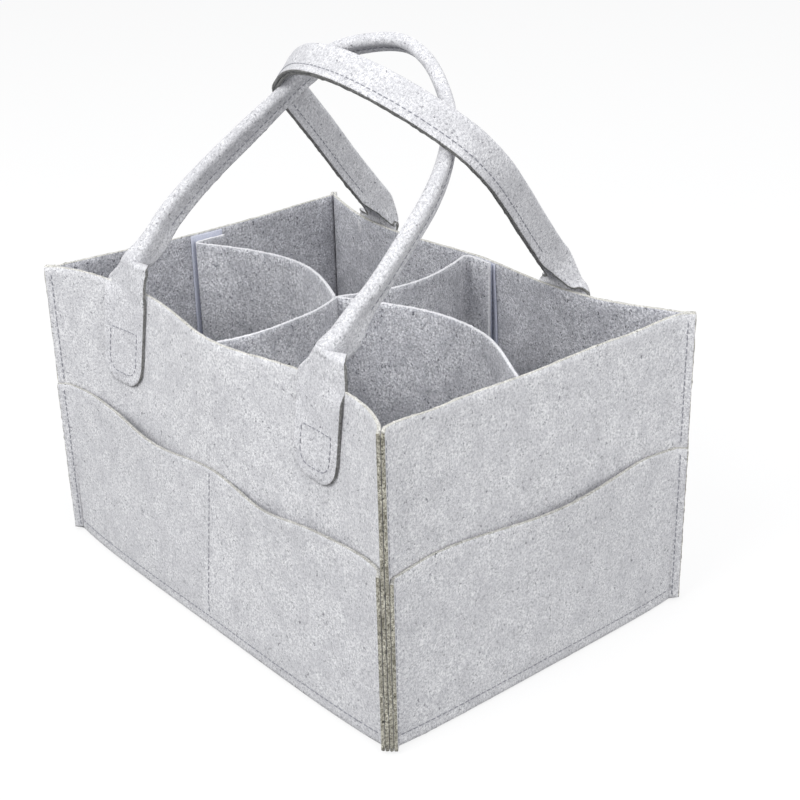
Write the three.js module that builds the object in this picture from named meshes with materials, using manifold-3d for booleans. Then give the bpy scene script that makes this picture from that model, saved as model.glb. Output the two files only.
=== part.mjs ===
// A felt caddy bag: an open box of thick felt with outside pockets, two folded felt carrying straps and a loose
// cross-shaped divider that is held to the walls by hook-and-loop tape.
// Millimetres, +Z up. X runs along the long walls and Y across the bag. The origin lies under the middle of the
// bag, on the surface that it stands on. The front wall faces -Y, and the right end wall faces +X.
import * as THREE from "three";
import Module from "manifold-3d";
import { mergeVertices } from "three/addons/utils/BufferGeometryUtils.js";

// Box
const bagLength = 330; // over the corner seams' raw edges, at the middle of their layers
const bagWidth = 230;
const cornerHeight = 186;
const feltThickness = 2;
const seamAllowance = 7.5; // felt that stands out beyond each corner's stitches
const layerGap = 0.3; // clearance between two layers of felt that lie on each other
const finChamferHeight = 1; // the corner fins are trimmed off at the foot

// Base
const baseRise = 7.5; // height of the rim that is turned down and sewn inside the walls
const baseCornerRadius = 3;
const rimCut = 1; // how far the cut that hollows the base starts below its rim
const bowStart = 12; // the walls stay flat up to here, over the base's rim

// Walls: how far each top edge is drawn in, how squarely it turns at its corners, and how much the divider holds
// its middle out again
const frontBow = { depth: 22, power: 4.5, held: 11 };
const backBow = { depth: 19, power: 3.2, held: 14 };
const leftBow = { depth: 3, power: 2.4, held: 0 };
const rightBow = { depth: 9, power: 2.4, held: 0 };
const heldReach = 55; // how far along the wall the divider's hold is felt
const bowGrowth = 1.3; // how fast a wall's bow grows with height
const longWallEdge = [
  [0, 180],
  [0.62, 183],
  [1, cornerHeight],
];
const leftWallEdge = [
  [0, 184.5],
  [1, cornerHeight],
];
const rightWallEdge = [
  [0, 180],
  [0.6, 182],
  [1, cornerHeight],
];

// Outside pockets: top edges, as a share of the way from the middle to a corner and a height
const longPocketEdge = [
  [0, 103],
  [0.3, 100],
  [0.66, 106],
  [1, 107],
];
const endPocketEdge = [
  [0, 101],
  [0.72, 105],
  [1, 103],
];
// How far each mouth stands open at its widest
const longPocketMouth = 8;
const leftPocketMouth = 5.7;
const rightPocketMouth = 7.5;
const pocketGrowth = 1.6; // how fast a pocket opens with height

// Handle straps
const tabWidth = 40;
const tabBottom = 126;
const tabRounding = 15;
const creaseGap = 0.3;
// The middles of each strap's tabs along X, the height of the crease where the strap turns, and the stretch below
// it where a tab leaves the bowed wall
const frontStrap = {
  tabs: { left: -104, right: 92 },
  creases: { left: -92, right: 95.5 },
  creaseWidth: 26,
  creaseHeight: 200,
  creaseOut: 92,
  tabFree: 13,
};
const backStrap = {
  tabs: { left: -98, right: 78 },
  creases: { left: -98, right: 78 },
  creaseWidth: tabWidth,
  creaseHeight: 187,
  creaseOut: 102.5,
  tabFree: 7,
};

// Hook-and-loop tape
const tapeWidth = 24;
const tapeThickness = 1.2;
const tapeGap = 0.3;

// Divider
const dividerHeight = 171;
const flapWidth = 23;
const dividerFloorGap = 0.3;
const wingSeamGap = 1.3; // room for a wing to turn where it is sewn to the cross strip
const crossPoint = new THREE.Vector2(-7, -7);
const crossBulge = 14;
const crossFoldX = -9;
const leftFold = { y: -12, bulge: 23 };
const rightFold = { y: -3, bulge: 24 };

const halfTurn = Math.PI;
const quarterTurn = Math.PI / 2;
const diagonal = Math.SQRT1_2;
const baseTop = baseRise + feltThickness;
const dividerBottom = baseTop + dividerFloorGap;
const dividerTop = dividerBottom + dividerHeight;

const wasm = await Module();
wasm.setup();

// Materials
const felt = (name, color) =>
  new THREE.MeshStandardMaterial({ name, color, roughness: 0.95, metalness: 0 });
const bodyFelt = felt("body_felt", 0xd2d2d4);
const pocketFelt = felt("pocket_felt", 0xd8d8da);
const strapFelt = felt("strap_felt", 0xcdcdd0);
const dividerFelt = felt("divider_felt", 0xb4b4b8);
const loopTape = felt("loop_tape", 0xc9cbd3);
const hookTape = felt("hook_tape", 0xbcbfc8);

// Eases from one listed [position, value] to the next, without overshoot.
function eased(points, position) {
  const next = points.findIndex(([at]) => at >= position);
  if (next === 0) return points[0][1];
  if (next < 0) return points[points.length - 1][1];
  const [fromAt, from] = points[next - 1];
  const [toAt, to] = points[next];
  return THREE.MathUtils.lerp(from, to, THREE.MathUtils.smoothstep(position, fromAt, toAt));
}

// A closed solid between two grids of points, [column][row], one on each face of a layer.
function solidBetween(front, back) {
  const lastColumn = front.length - 1;
  const lastRow = front[0].length - 1;
  const positions = [];
  const triangle = (...corners) => corners.forEach((p) => positions.push(p.x, p.y, p.z));
  const quad = (a, b, c, d) => {
    triangle(a, b, c);
    triangle(a, c, d);
  };
  for (let i = 0; i < lastColumn; i++) {
    for (let j = 0; j < lastRow; j++) {
      quad(front[i][j], front[i + 1][j], front[i + 1][j + 1], front[i][j + 1]);
      quad(back[i][j], back[i][j + 1], back[i + 1][j + 1], back[i + 1][j]);
    }
    quad(front[i + 1][0], front[i][0], back[i][0], back[i + 1][0]);
    quad(front[i][lastRow], front[i + 1][lastRow], back[i + 1][lastRow], back[i][lastRow]);
  }
  for (let j = 0; j < lastRow; j++) {
    quad(front[0][j], front[0][j + 1], back[0][j + 1], back[0][j]);
    quad(
      front[lastColumn][j + 1],
      front[lastColumn][j],
      back[lastColumn][j],
      back[lastColumn][j + 1],
    );
  }
  const geometry = new THREE.BufferGeometry();
  geometry.setAttribute("position", new THREE.Float32BufferAttribute(positions, 3));
  const merged = mergeVertices(geometry, 1e-4);
  merged.computeVertexNormals();
  return merged;
}

// Walls
// A wall is described in its own plan, where x runs along it, seen from outside the bag, and its outside is at -y.
// Its middle line runs out along both corner diagonals, where it is sewn to the next wall.
const wallColumns = 26;
const wallRows = 7;
const finMiddle = layerGap / 2 + feltThickness / 2; // from the corner's diagonal to the wall layer's middle

function makeWall(name, along, across, bow, edge) {
  const rootX = along / 2 - diagonal * (seamAllowance + finMiddle);
  const rootY = across / 2 - diagonal * (seamAllowance - finMiddle);
  const wall = { name, rootX, rootY, edge };
  wall.growth = (z) => Math.max(0, (z - bowStart) / (cornerHeight - bowStart)) ** bowGrowth;
  // The middle of the felt at a place along the wall, moved out by a distance, and the way that the felt faces
  wall.at = (x, z, out = 0) => {
    const share = Math.min(1, Math.abs(x) / rootX);
    const hold = bow.held * Math.exp(-((x / heldReach) ** 2));
    const holdSlope = (2 * x * hold) / heldReach ** 2;
    const turn = (bow.depth * bow.power * share ** (bow.power - 1) * Math.sign(x)) / rootX;
    const y = -rootY + wall.growth(z) * (bow.depth * (1 - share ** bow.power) - hold);
    const slope = wall.growth(z) * (holdSlope - turn);
    const facing = new THREE.Vector2(slope, -1).normalize();
    return { point: new THREE.Vector3(x + facing.x * out, y + facing.y * out, z), facing };
  };
  // A corner fin's root (share 0) or tip (share 1), on the side that sign names
  wall.fin = (sign, share, z, out) => {
    const { point: root, facing } = wall.at(sign * rootX, z);
    const finFacing = new THREE.Vector2(-sign * diagonal, -diagonal);
    const reach = share * seamAllowance * diagonal;
    const mitre = facing.clone().add(finFacing).normalize();
    const toward = share > 0 ? finFacing : mitre.multiplyScalar(1 / mitre.dot(finFacing));
    return new THREE.Vector3(
      root.x + sign * reach + toward.x * out,
      root.y - reach + toward.y * out,
      z,
    );
  };
  return wall;
}

const frontWall = makeWall("front", bagLength, bagWidth, frontBow, longWallEdge);
const backWall = makeWall("back", bagLength, bagWidth, backBow, longWallEdge);
const leftWall = makeWall("left_end", bagWidth, bagLength, leftBow, leftWallEdge);
const rightWall = makeWall("right_end", bagWidth, bagLength, rightBow, rightWallEdge);

// One full layer of felt on a wall, from fin tip to fin tip: straight up to where the bow starts, then in even
// rows to its top edge. out moves its middle out from the wall's.
function fullLayer(wall, rows, edge, out) {
  const columns = [];
  for (let i = 0; i <= wallColumns; i++) {
    const share = (i / wallColumns) * 2 - 1;
    const crowded = (share + Math.sin(share * quarterTurn)) / 2;
    columns.push({ x: crowded * wall.rootX, side: 0, fin: 0 });
  }
  columns[0] = { x: -wall.rootX, side: -1, fin: 0 };
  columns[wallColumns] = { x: wall.rootX, side: 1, fin: 0 };
  columns.unshift({ x: -wall.rootX, side: -1, fin: 1 });
  columns.push({ x: wall.rootX, side: 1, fin: 1 });
  const grid = (face) =>
    columns.map(({ x, side, fin }) => {
      const foot = fin * finChamferHeight;
      const top = eased(edge, Math.abs(x) / wall.rootX);
      const heights = Array.from({ length: rows }, (_, j) =>
        THREE.MathUtils.lerp(bowStart, top, j / (rows - 1)),
      );
      return [foot, ...heights].map((z) => {
        const distance = out(x, z, top) + (face * feltThickness) / 2;
        return side ? wall.fin(side, fin, z, distance) : wall.at(x, z, distance).point;
      });
    });
  return solidBetween(grid(1), grid(-1));
}

function wallPanel(wall) {
  return fullLayer(wall, wallRows, wall.edge, () => 0);
}

// A pocket lies on the wall at its corners, at its foot and at its seams, and stands open between them.
const pocketRows = 6;
function pocketPanel(wall, edge, mouth, pocketCount, lean) {
  const seat = feltThickness + layerGap;
  const opening = (x, z, top) => {
    const share = (x / wall.rootX + 1) / 2;
    const along = Math.sin(share ** lean * halfTurn * pocketCount) ** 2;
    return seat + mouth * along * (z / top) ** pocketGrowth;
  };
  return fullLayer(wall, pocketRows, edge, opening);
}

// A strip that follows the wall between two faces, given as distances out from the middle of the wall's felt
function stripOnWall(wall, middleX, width, bottom, top, nearFace, farFace, columns, rows) {
  const grid = (out) =>
    Array.from({ length: columns + 1 }, (_, i) => {
      const x = middleX + width * (i / columns - 0.5);
      return Array.from({ length: rows + 1 }, (_, j) => {
        const z = THREE.MathUtils.lerp(bottom, top(x), j / rows);
        return wall.at(x, z, out).point;
      });
    });
  return solidBetween(grid(Math.max(nearFace, farFace)), grid(Math.min(nearFace, farFace)));
}

// Base: a tray turned upside down, its rim inside the foot of the walls
function solidOf(geometry) {
  const bare = geometry.index ? geometry.toNonIndexed() : geometry.clone();
  bare.deleteAttribute("normal");
  bare.deleteAttribute("uv");
  const merged = mergeVertices(bare, 1e-4);
  return new wasm.Manifold(
    new wasm.Mesh({
      numProp: 3,
      vertProperties: new Float32Array(merged.attributes.position.array),
      triVerts: new Uint32Array(merged.index.array),
    }),
  );
}

function geometryOf(solid) {
  const { vertProperties, triVerts } = solid.getMesh();
  const geometry = new THREE.BufferGeometry();
  geometry.setAttribute("position", new THREE.Float32BufferAttribute(vertProperties, 3));
  geometry.setIndex(new THREE.BufferAttribute(triVerts, 1));
  return geometry;
}

function roundedSlab(halfX, halfY, radius, height) {
  const shape = new THREE.Shape();
  shape.moveTo(-halfX + radius, -halfY);
  shape.lineTo(halfX - radius, -halfY);
  shape.absarc(halfX - radius, -halfY + radius, radius, -quarterTurn, 0);
  shape.lineTo(halfX, halfY - radius);
  shape.absarc(halfX - radius, halfY - radius, radius, 0, quarterTurn);
  shape.lineTo(-halfX + radius, halfY);
  shape.absarc(-halfX + radius, halfY - radius, radius, quarterTurn, halfTurn);
  shape.lineTo(-halfX, -halfY + radius);
  shape.absarc(-halfX + radius, -halfY + radius, radius, halfTurn, 3 * quarterTurn);
  return new THREE.ExtrudeGeometry(shape, { depth: height, bevelEnabled: false, curveSegments: 5 });
}

function basePanel() {
  const inWalls = feltThickness / 2 + layerGap;
  const halfX = rightWall.rootY - inWalls;
  const halfY = frontWall.rootY - inWalls;
  const slab = solidOf(roundedSlab(halfX, halfY, baseCornerRadius, baseTop));
  const hollow = solidOf(
    roundedSlab(
      halfX - feltThickness,
      halfY - feltThickness,
      baseCornerRadius - feltThickness,
      baseRise + rimCut,
    ).translate(0, 0, -rimCut),
  );
  return geometryOf(slab.subtract(hollow));
}

// Handles
const tabColumns = 12;
const seatedRows = 7;
const freeRows = 3;
function handleTab(wall, middleX, creaseX, { creaseWidth, creaseHeight, creaseOut, tabFree }) {
  const seat = feltThickness + layerGap;
  const top = creaseHeight - feltThickness / 2 - creaseGap;
  const inner = tabWidth / 2 - tabRounding;
  const grid = (face) =>
    Array.from({ length: tabColumns + 1 }, (_, i) => {
      const across = (tabWidth / 2) * Math.sin(((i / tabColumns) * 2 - 1) * quarterTurn);
      const overCorner = Math.max(0, Math.abs(across) - inner);
      const lift = tabRounding - Math.sqrt(tabRounding ** 2 - overCorner ** 2);
      const foot = tabBottom + lift;
      return Array.from({ length: seatedRows + freeRows + 1 }, (_, j) => {
        const seated = Math.min(1, j / seatedRows);
        const z =
          THREE.MathUtils.lerp(foot, top - tabFree, seated) +
          tabFree * Math.max(0, (j - seatedRows) / freeRows);
        const free = THREE.MathUtils.smoothstep(z, top - tabFree, top);
        const atCrease = creaseX + (across * creaseWidth) / tabWidth;
        const x = THREE.MathUtils.lerp(middleX + across, atCrease, free);
        const onWall = wall.at(x, z, seat + (face * feltThickness) / 2).point;
        const upright = new THREE.Vector3(x, -creaseOut - (face * feltThickness) / 2, z);
        return onWall.lerp(upright, free);
      });
    });
  return solidBetween(grid(1), grid(-1));
}

// A grip's route lies in a plane that leans in over the bag from the strap's crease, in degrees at its left and its
// right tab. Each point gives the distance along X and the reach from the crease. The strap leaves each crease flat
// and is folded lengthwise over the stretch from foldFrom to foldTo, with its fold facing out. setBack is how far
// the folded strap's middle then lies behind the plane, turn is how far the folded strap is turned on its right
// half, and roundness is 1 for an oval strap and 0 for a square one.
const frontGrip = {
  lean: { left: 41, right: 46.5 },
  width: 17.5,
  thickness: 7.5,
  turn: 20,
  roundness: 1,
  foldFrom: 3,
  foldTo: 24,
  setBack: 7.7,
  route: [
    [frontStrap.creases.left, 0],
    [-97, 14],
    [-97, 34],
    [-91, 56],
    [-81, 80],
    [-69.3, 104.5],
    [-57.6, 127.6],
    [-48.8, 146],
    [-38, 163.5],
    [-18, 174.5],
    [8, 180],
    [32, 173],
    [53, 159.5],
    [72, 142],
    [84, 121],
    [90, 99],
    [92, 72],
    [92.5, 44],
    [91.5, 28],
    [92.5, 13],
    [frontStrap.creases.right, 0],
  ],
};
const backGrip = {
  lean: { left: 39.5, right: 42.5 },
  width: 20,
  thickness: 6.5,
  turn: 0,
  roundness: 0.75,
  foldFrom: 2,
  foldTo: 22,
  setBack: 0,
  route: [
    [backStrap.creases.left, 0],
    [-86, 20],
    [-82, 62],
    [-77, 100],
    [-75.3, 124],
    [-72.5, 142.3],
    [-52, 160],
    [-18, 178],
    [18, 182],
    [50, 175],
    [77, 161],
    [94.5, 140],
    [99, 118],
    [96, 94],
    [89, 60],
    [83, 28],
    [backStrap.creases.right, 0],
  ],
};

const gripSteps = 52;
const gripSides = 12;

// The folded strap swept along its route. It leaves each tab as one flat layer across the wall and folds
// lengthwise as it rises, so that its face lies up at the top of the arch.
function grip({ creases, creaseWidth, creaseHeight, creaseOut }, side, spec) {
  const { lean, width, thickness, turn, roundness, foldFrom, foldTo, setBack, route } = spec;
  const along = new THREE.Vector3(1, 0, 0);
  const reachAt = (share) => {
    const angle = THREE.MathUtils.degToRad(THREE.MathUtils.lerp(lean.left, lean.right, share));
    return new THREE.Vector3(0, -side * Math.sin(angle), Math.cos(angle));
  };
  const place = ([x, reach]) => {
    const share = THREE.MathUtils.clamp((x - creases.left) / (creases.right - creases.left), 0, 1);
    return new THREE.Vector3(x, side * creaseOut, creaseHeight).addScaledVector(reachAt(share), reach);
  };
  const planeNormal = along.clone().cross(reachAt(0.5));
  const curve = new THREE.CatmullRomCurve3(route.map(place), false, "centripetal");
  const arch = curve.getLength();
  const rings = [];
  for (let i = 0; i <= gripSteps; i++) {
    const t = i / gripSteps;
    const centre = curve.getPointAt(t);
    const atTab = t === 0 || t === 1;
    const tangent = atTab ? reachAt(t).multiplyScalar(t ? -1 : 1) : curve.getTangentAt(t);
    const folded = THREE.MathUtils.smoothstep(Math.min(t, 1 - t) * arch, foldFrom, foldTo);
    const turned = THREE.MathUtils.degToRad(turn) * folded * THREE.MathUtils.smoothstep(t, 0.45, 0.65);
    const across = planeNormal.clone().projectOnPlane(tangent).normalize();
    across.applyAxisAngle(tangent, -turned);
    const through = tangent.clone().cross(across);
    const halfWidth = THREE.MathUtils.lerp(feltThickness, width, folded) / 2;
    const halfThickness = THREE.MathUtils.lerp(creaseWidth, thickness, folded) / 2;
    centre.addScaledVector(planeNormal, side * setBack * folded);
    const power = THREE.MathUtils.lerp(0.25, roundness, folded);
    const ring = [];
    for (let k = 0; k < gripSides; k++) {
      const angle = (k / gripSides) * 2 * halfTurn;
      const wide = Math.sign(Math.cos(angle)) * Math.abs(Math.cos(angle)) ** power;
      const thick = Math.sign(Math.sin(angle)) * Math.abs(Math.sin(angle)) ** power;
      ring.push(
        centre
          .clone()
          .addScaledVector(across, halfWidth * wide)
          .addScaledVector(through, halfThickness * thick),
      );
    }
    rings.push(ring);
  }
  return tubeOf(rings);
}

// A closed tube through rings of points, with flat ends
function tubeOf(rings) {
  const sides = rings[0].length;
  const positions = [];
  const triangle = (...corners) => corners.forEach((p) => positions.push(p.x, p.y, p.z));
  for (let i = 0; i + 1 < rings.length; i++) {
    for (let k = 0; k < sides; k++) {
      const next = (k + 1) % sides;
      triangle(rings[i][k], rings[i][next], rings[i + 1][next]);
      triangle(rings[i][k], rings[i + 1][next], rings[i + 1][k]);
    }
  }
  const last = rings[rings.length - 1];
  for (let k = 1; k + 1 < sides; k++) {
    triangle(rings[0][0], rings[0][k + 1], rings[0][k]);
    triangle(last[0], last[k], last[k + 1]);
  }
  const geometry = new THREE.BufferGeometry();
  geometry.setAttribute("position", new THREE.Float32BufferAttribute(positions, 3));
  const merged = mergeVertices(geometry, 1e-4);
  merged.computeVertexNormals();
  return merged;
}

// Divider
// Its flaps lie on the walls' loop tape, with the hook tape between.
const loopFace = -(feltThickness / 2 + tapeGap);
const hookFace = loopFace - tapeThickness - tapeGap;
const flapFace = hookFace - tapeThickness - tapeGap;
const flapMiddle = flapFace - feltThickness / 2;

// A strip of felt that stands on edge along a line in plan, which is its middle
function standingStrip(line) {
  const grid = (face) =>
    line.map((point, i) => {
      const before = line[Math.max(0, i - 1)];
      const after = line[Math.min(line.length - 1, i + 1)];
      const inward = point.clone().sub(before);
      const outward = after.clone().sub(point);
      const first = (inward.lengthSq() ? inward : outward).clone().normalize();
      const second = (outward.lengthSq() ? outward : inward).clone().normalize();
      const side = new THREE.Vector2(first.y + second.y, -first.x - second.x).normalize();
      const mitre = 1 / (side.x * first.y - side.y * first.x);
      const edge = side.multiplyScalar((face * feltThickness * mitre) / 2).add(point);
      return [dividerBottom, dividerTop].map((z) => new THREE.Vector3(edge.x, edge.y, z));
    });
  return solidBetween(grid(1), grid(-1));
}

// A point of a wall's own plan, as a point of the bag's plan
function inBag(quarterTurns, point) {
  return new THREE.Vector2(point.x, point.y).rotateAround(
    new THREE.Vector2(),
    quarterTurns * quarterTurn,
  );
}

// The flaps stand upright, where the walls draw in to at the divider's top, so that the divider lifts straight out.
// A flap's points run from its fold to its free edge, in the bag's plan.
const flapSteps = 5;
const foldRadius = 3;
function flapLine(wall, quarterTurns, foldX, direction) {
  return Array.from({ length: flapSteps + 1 }, (_, i) => {
    const x = foldX + direction * THREE.MathUtils.lerp(foldRadius, flapWidth, i / flapSteps);
    return inBag(quarterTurns, wall.at(x, dividerTop, flapMiddle).point);
  });
}

// Where the divider meets a wall at its fold, a fold's radius short of the flap
function foldPoint(wall, quarterTurns, foldX) {
  return inBag(quarterTurns, wall.at(foldX, dividerTop, flapMiddle - foldRadius).point);
}

const stripSteps = 14;
function buckled(from, to, bulge, side) {
  return Array.from({ length: stripSteps + 1 }, (_, i) => {
    const share = i / stripSteps;
    const point = from.clone().lerp(to, share);
    return point.addScaledVector(side, bulge * Math.sin(share * halfTurn));
  });
}

// Quarter turns from the front wall's plan to each wall's own place in the bag
const turns = { front: 0, right: 1, back: 2, left: 3 };

function crossStrip() {
  const toRight = new THREE.Vector2(1, 0);
  const backFold = foldPoint(backWall, turns.back, -crossFoldX);
  const frontFold = foldPoint(frontWall, turns.front, crossFoldX);
  const backFlap = flapLine(backWall, turns.back, -crossFoldX, -1).reverse();
  const frontFlap = flapLine(frontWall, turns.front, crossFoldX, 1);
  const backHalf = buckled(backFold, crossPoint, crossBulge, toRight);
  const frontHalf = buckled(crossPoint, frontFold, crossBulge, toRight).slice(1);
  return standingStrip([...backFlap, ...backHalf, ...frontHalf, ...frontFlap]);
}

// A wing runs from its seam at the cross strip, on the side that sign names, to its flap on an end wall.
function wing(wall, quarterTurns, sign, fold) {
  const pivot = new THREE.Vector2(crossPoint.x + sign * (feltThickness / 2 + wingSeamGap), crossPoint.y);
  const foldX = sign * fold.y;
  const end = foldPoint(wall, quarterTurns, foldX);
  const flap = flapLine(wall, quarterTurns, foldX, sign);
  return standingStrip([...buckled(pivot, end, fold.bulge, new THREE.Vector2(0, 1)), ...flap]);
}

// Tapes: the loop side on the wall, up to the wall's edge, and the hook side on the divider's flap
const tapeRows = 6;
const tapeColumns = 4;
const tapeInset = 1;
function loopStrip(wall, middleX) {
  const top = (x) => eased(wall.edge, Math.abs(x) / wall.rootX) - tapeInset;
  const bottom = dividerBottom;
  const far = loopFace - tapeThickness;
  return stripOnWall(wall, middleX, tapeWidth, bottom, top, loopFace, far, tapeColumns, tapeRows);
}

function hookStrip(wall, foldX, direction) {
  const width = flapWidth - foldRadius - tapeInset;
  const middleX = foldX + direction * (foldRadius + width / 2);
  const grid = (out) =>
    Array.from({ length: tapeColumns + 1 }, (_, i) => {
      const { x, y } = wall.at(middleX + width * (i / tapeColumns - 0.5), dividerTop, out).point;
      return [dividerBottom + tapeInset, dividerTop - tapeInset].map((z) => new THREE.Vector3(x, y, z));
    });
  return solidBetween(grid(hookFace), grid(hookFace - tapeThickness));
}

// Assembly
const bag = new THREE.Group();
function addMesh(group, name, geometry, material) {
  const mesh = new THREE.Mesh(geometry, material);
  mesh.name = name;
  group.add(mesh);
}

function wallGroup(quarterTurns) {
  const group = new THREE.Group();
  group.rotation.z = quarterTurns * quarterTurn;
  bag.add(group);
  return group;
}

// The two tapes lie where the divider's flap lies on this wall, on the side of its fold that way names.
function addTapes(group, wall, fold, way) {
  const loop = loopStrip(wall, fold + way * (flapWidth / 2));
  addMesh(group, `${wall.name}_loop_tape`, loop, loopTape);
  addMesh(group, `${wall.name}_hook_tape`, hookStrip(wall, fold, way), hookTape);
}

addMesh(bag, "base_panel", basePanel(), bodyFelt);

const longWalls = [
  { wall: frontWall, turn: turns.front, strap: frontStrap, way: 1, fold: crossFoldX },
  { wall: backWall, turn: turns.back, strap: backStrap, way: -1, fold: -crossFoldX },
];
for (const { wall, turn, strap, way, fold } of longWalls) {
  const group = wallGroup(turn);
  addMesh(group, `${wall.name}_panel`, wallPanel(wall), bodyFelt);
  const pocket = pocketPanel(wall, longPocketEdge, longPocketMouth, 2, 1);
  addMesh(group, `${wall.name}_pocket`, pocket, pocketFelt);
  for (const [side, x] of Object.entries(strap.tabs)) {
    const tab = handleTab(wall, way * x, way * strap.creases[side], strap);
    addMesh(group, `${wall.name}_handle_tab_${side}`, tab, strapFelt);
  }
  addTapes(group, wall, fold, way);
}

const endWalls = [
  { wall: rightWall, turn: turns.right, mouth: rightPocketMouth, lean: 1.3, way: 1, fold: rightFold.y },
  { wall: leftWall, turn: turns.left, mouth: leftPocketMouth, lean: 1, way: -1, fold: -leftFold.y },
];
for (const { wall, turn, mouth, lean, way, fold } of endWalls) {
  const group = wallGroup(turn);
  addMesh(group, `${wall.name}_panel`, wallPanel(wall), bodyFelt);
  const pocket = pocketPanel(wall, endPocketEdge, mouth, 1, lean);
  addMesh(group, `${wall.name}_pocket`, pocket, pocketFelt);
  addTapes(group, wall, fold, way);
}

addMesh(bag, "front_handle_grip", grip(frontStrap, -1, frontGrip), strapFelt);
addMesh(bag, "back_handle_grip", grip(backStrap, 1, backGrip), strapFelt);
addMesh(bag, "insert_cross_strip", crossStrip(), dividerFelt);
addMesh(bag, "insert_left_wing", wing(leftWall, turns.left, -1, leftFold), dividerFelt);
addMesh(bag, "insert_right_wing", wing(rightWall, turns.right, 1, rightFold), dividerFelt);

export default bag;
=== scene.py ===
import math

import bpy
import numpy as np
from mathutils import Matrix, Vector


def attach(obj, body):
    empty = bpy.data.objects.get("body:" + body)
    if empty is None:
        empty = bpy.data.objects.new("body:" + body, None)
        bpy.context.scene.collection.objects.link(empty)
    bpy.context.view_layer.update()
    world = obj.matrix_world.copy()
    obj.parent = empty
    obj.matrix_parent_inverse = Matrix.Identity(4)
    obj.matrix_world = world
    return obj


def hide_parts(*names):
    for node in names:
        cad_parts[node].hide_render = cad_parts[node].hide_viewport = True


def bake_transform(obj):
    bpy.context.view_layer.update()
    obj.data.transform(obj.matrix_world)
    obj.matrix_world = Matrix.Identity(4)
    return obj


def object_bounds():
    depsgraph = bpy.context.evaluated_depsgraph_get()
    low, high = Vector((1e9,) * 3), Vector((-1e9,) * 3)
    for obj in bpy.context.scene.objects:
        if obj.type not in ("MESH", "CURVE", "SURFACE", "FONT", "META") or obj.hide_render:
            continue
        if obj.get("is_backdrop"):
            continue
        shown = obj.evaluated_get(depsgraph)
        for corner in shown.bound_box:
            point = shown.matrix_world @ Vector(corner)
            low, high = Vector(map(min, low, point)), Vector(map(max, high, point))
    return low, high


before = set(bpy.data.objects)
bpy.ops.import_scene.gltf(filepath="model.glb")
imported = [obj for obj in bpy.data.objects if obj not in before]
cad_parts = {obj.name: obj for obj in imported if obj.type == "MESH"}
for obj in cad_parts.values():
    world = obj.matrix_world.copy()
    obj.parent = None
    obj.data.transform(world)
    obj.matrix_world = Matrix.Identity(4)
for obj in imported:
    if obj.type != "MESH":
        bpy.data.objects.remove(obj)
cad_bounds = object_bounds()
MM = 0.001
DIAGONAL = math.sqrt(0.5)
HALF_TURN = math.pi

# Sizes, in millimetres
BAG_LENGTH = 330
BAG_WIDTH = 230
CORNER_HEIGHT = 186
FELT = 2
LAYER_GAP = 0.3
SEAT = FELT + LAYER_GAP
SEAM_ALLOWANCE = 7.5
FOOT_LIFT = 0.9
BASE_RISE = 7.5
BASE_TOP = BASE_RISE + FELT
BOW_START = 12
BOW_GROWTH = 1.3
HELD_REACH = 55
FOOT_REACH = 55
UNEVENNESS = 0.3
UNEVEN_LENGTH = 75
UNEVEN_FROM = 60
POCKET_GROWTH = 1.6

HALF_STRIP = 20
TAB_ROUNDING = 15
TAB_STITCH_INSET = 6.5
TAB_STITCH_TOP = 157
SEAM_INSET = 4

TAPE_WIDTH = 24
TAPE_THICKNESS = 1.2
TAPE_GAP = 0.3
DIVIDER_HEIGHT = 171
DIVIDER_BOTTOM = BASE_TOP + LAYER_GAP
DIVIDER_TOP = DIVIDER_BOTTOM + DIVIDER_HEIGHT
FLAP_WIDTH = 23
FLAP_SAG = 6
FOLD_RADIUS = 3
CROSS_POINT = np.array([-7.0, -7.0])
CROSS_BULGE = 14
CROSS_FOLD = -9
LEFT_FOLD = 12
RIGHT_FOLD = -3


# Materials
def empty_tree(owner):
    owner.use_nodes = True
    owner.node_tree.nodes.clear()
    return owner.node_tree


def set_inputs(node, values):
    for name, value in values.items():
        node.inputs[name].default_value = value


def new_shader(name):
    material = bpy.data.materials.new(name)
    tree = empty_tree(material)
    output = tree.nodes.new("ShaderNodeOutputMaterial")
    surface = tree.nodes.new("ShaderNodeBsdfPrincipled")
    tree.links.new(surface.outputs["BSDF"], output.inputs["Surface"])
    coordinates = tree.nodes.new("ShaderNodeTexCoord").outputs["Object"]
    return material, tree, surface, coordinates


def noise(tree, coordinates, scale, detail=2.0, roughness=0.55, stretch=None, turn=None, distortion=0.0):
    source = coordinates
    if stretch:
        mapping = tree.nodes.new("ShaderNodeMapping")
        set_inputs(mapping, {"Scale": stretch, "Rotation": turn})
        tree.links.new(coordinates, mapping.inputs["Vector"])
        source = mapping.outputs["Vector"]
    texture = tree.nodes.new("ShaderNodeTexNoise")
    shape = {"Scale": scale, "Detail": detail, "Roughness": roughness, "Distortion": distortion}
    set_inputs(texture, shape)
    tree.links.new(source, texture.inputs["Vector"])
    return texture.outputs["Fac"]


def distance_to(tree, value, level):
    """How far a value lies from a level. It is near zero on the lines where it crosses the level."""
    away = tree.nodes.new("ShaderNodeMath")
    away.operation = "SUBTRACT"
    away.inputs[1].default_value = level
    tree.links.new(value, away.inputs[0])
    size = tree.nodes.new("ShaderNodeMath")
    size.operation = "ABSOLUTE"
    tree.links.new(away.outputs["Value"], size.inputs[0])
    return size.outputs["Value"]


def bump(tree, height, strength, distance, under=None):
    node = tree.nodes.new("ShaderNodeBump")
    set_inputs(node, {"Strength": strength, "Distance": distance})
    tree.links.new(height, node.inputs["Height"])
    if under:
        tree.links.new(under, node.inputs["Normal"])
    return node.outputs["Normal"]


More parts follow.
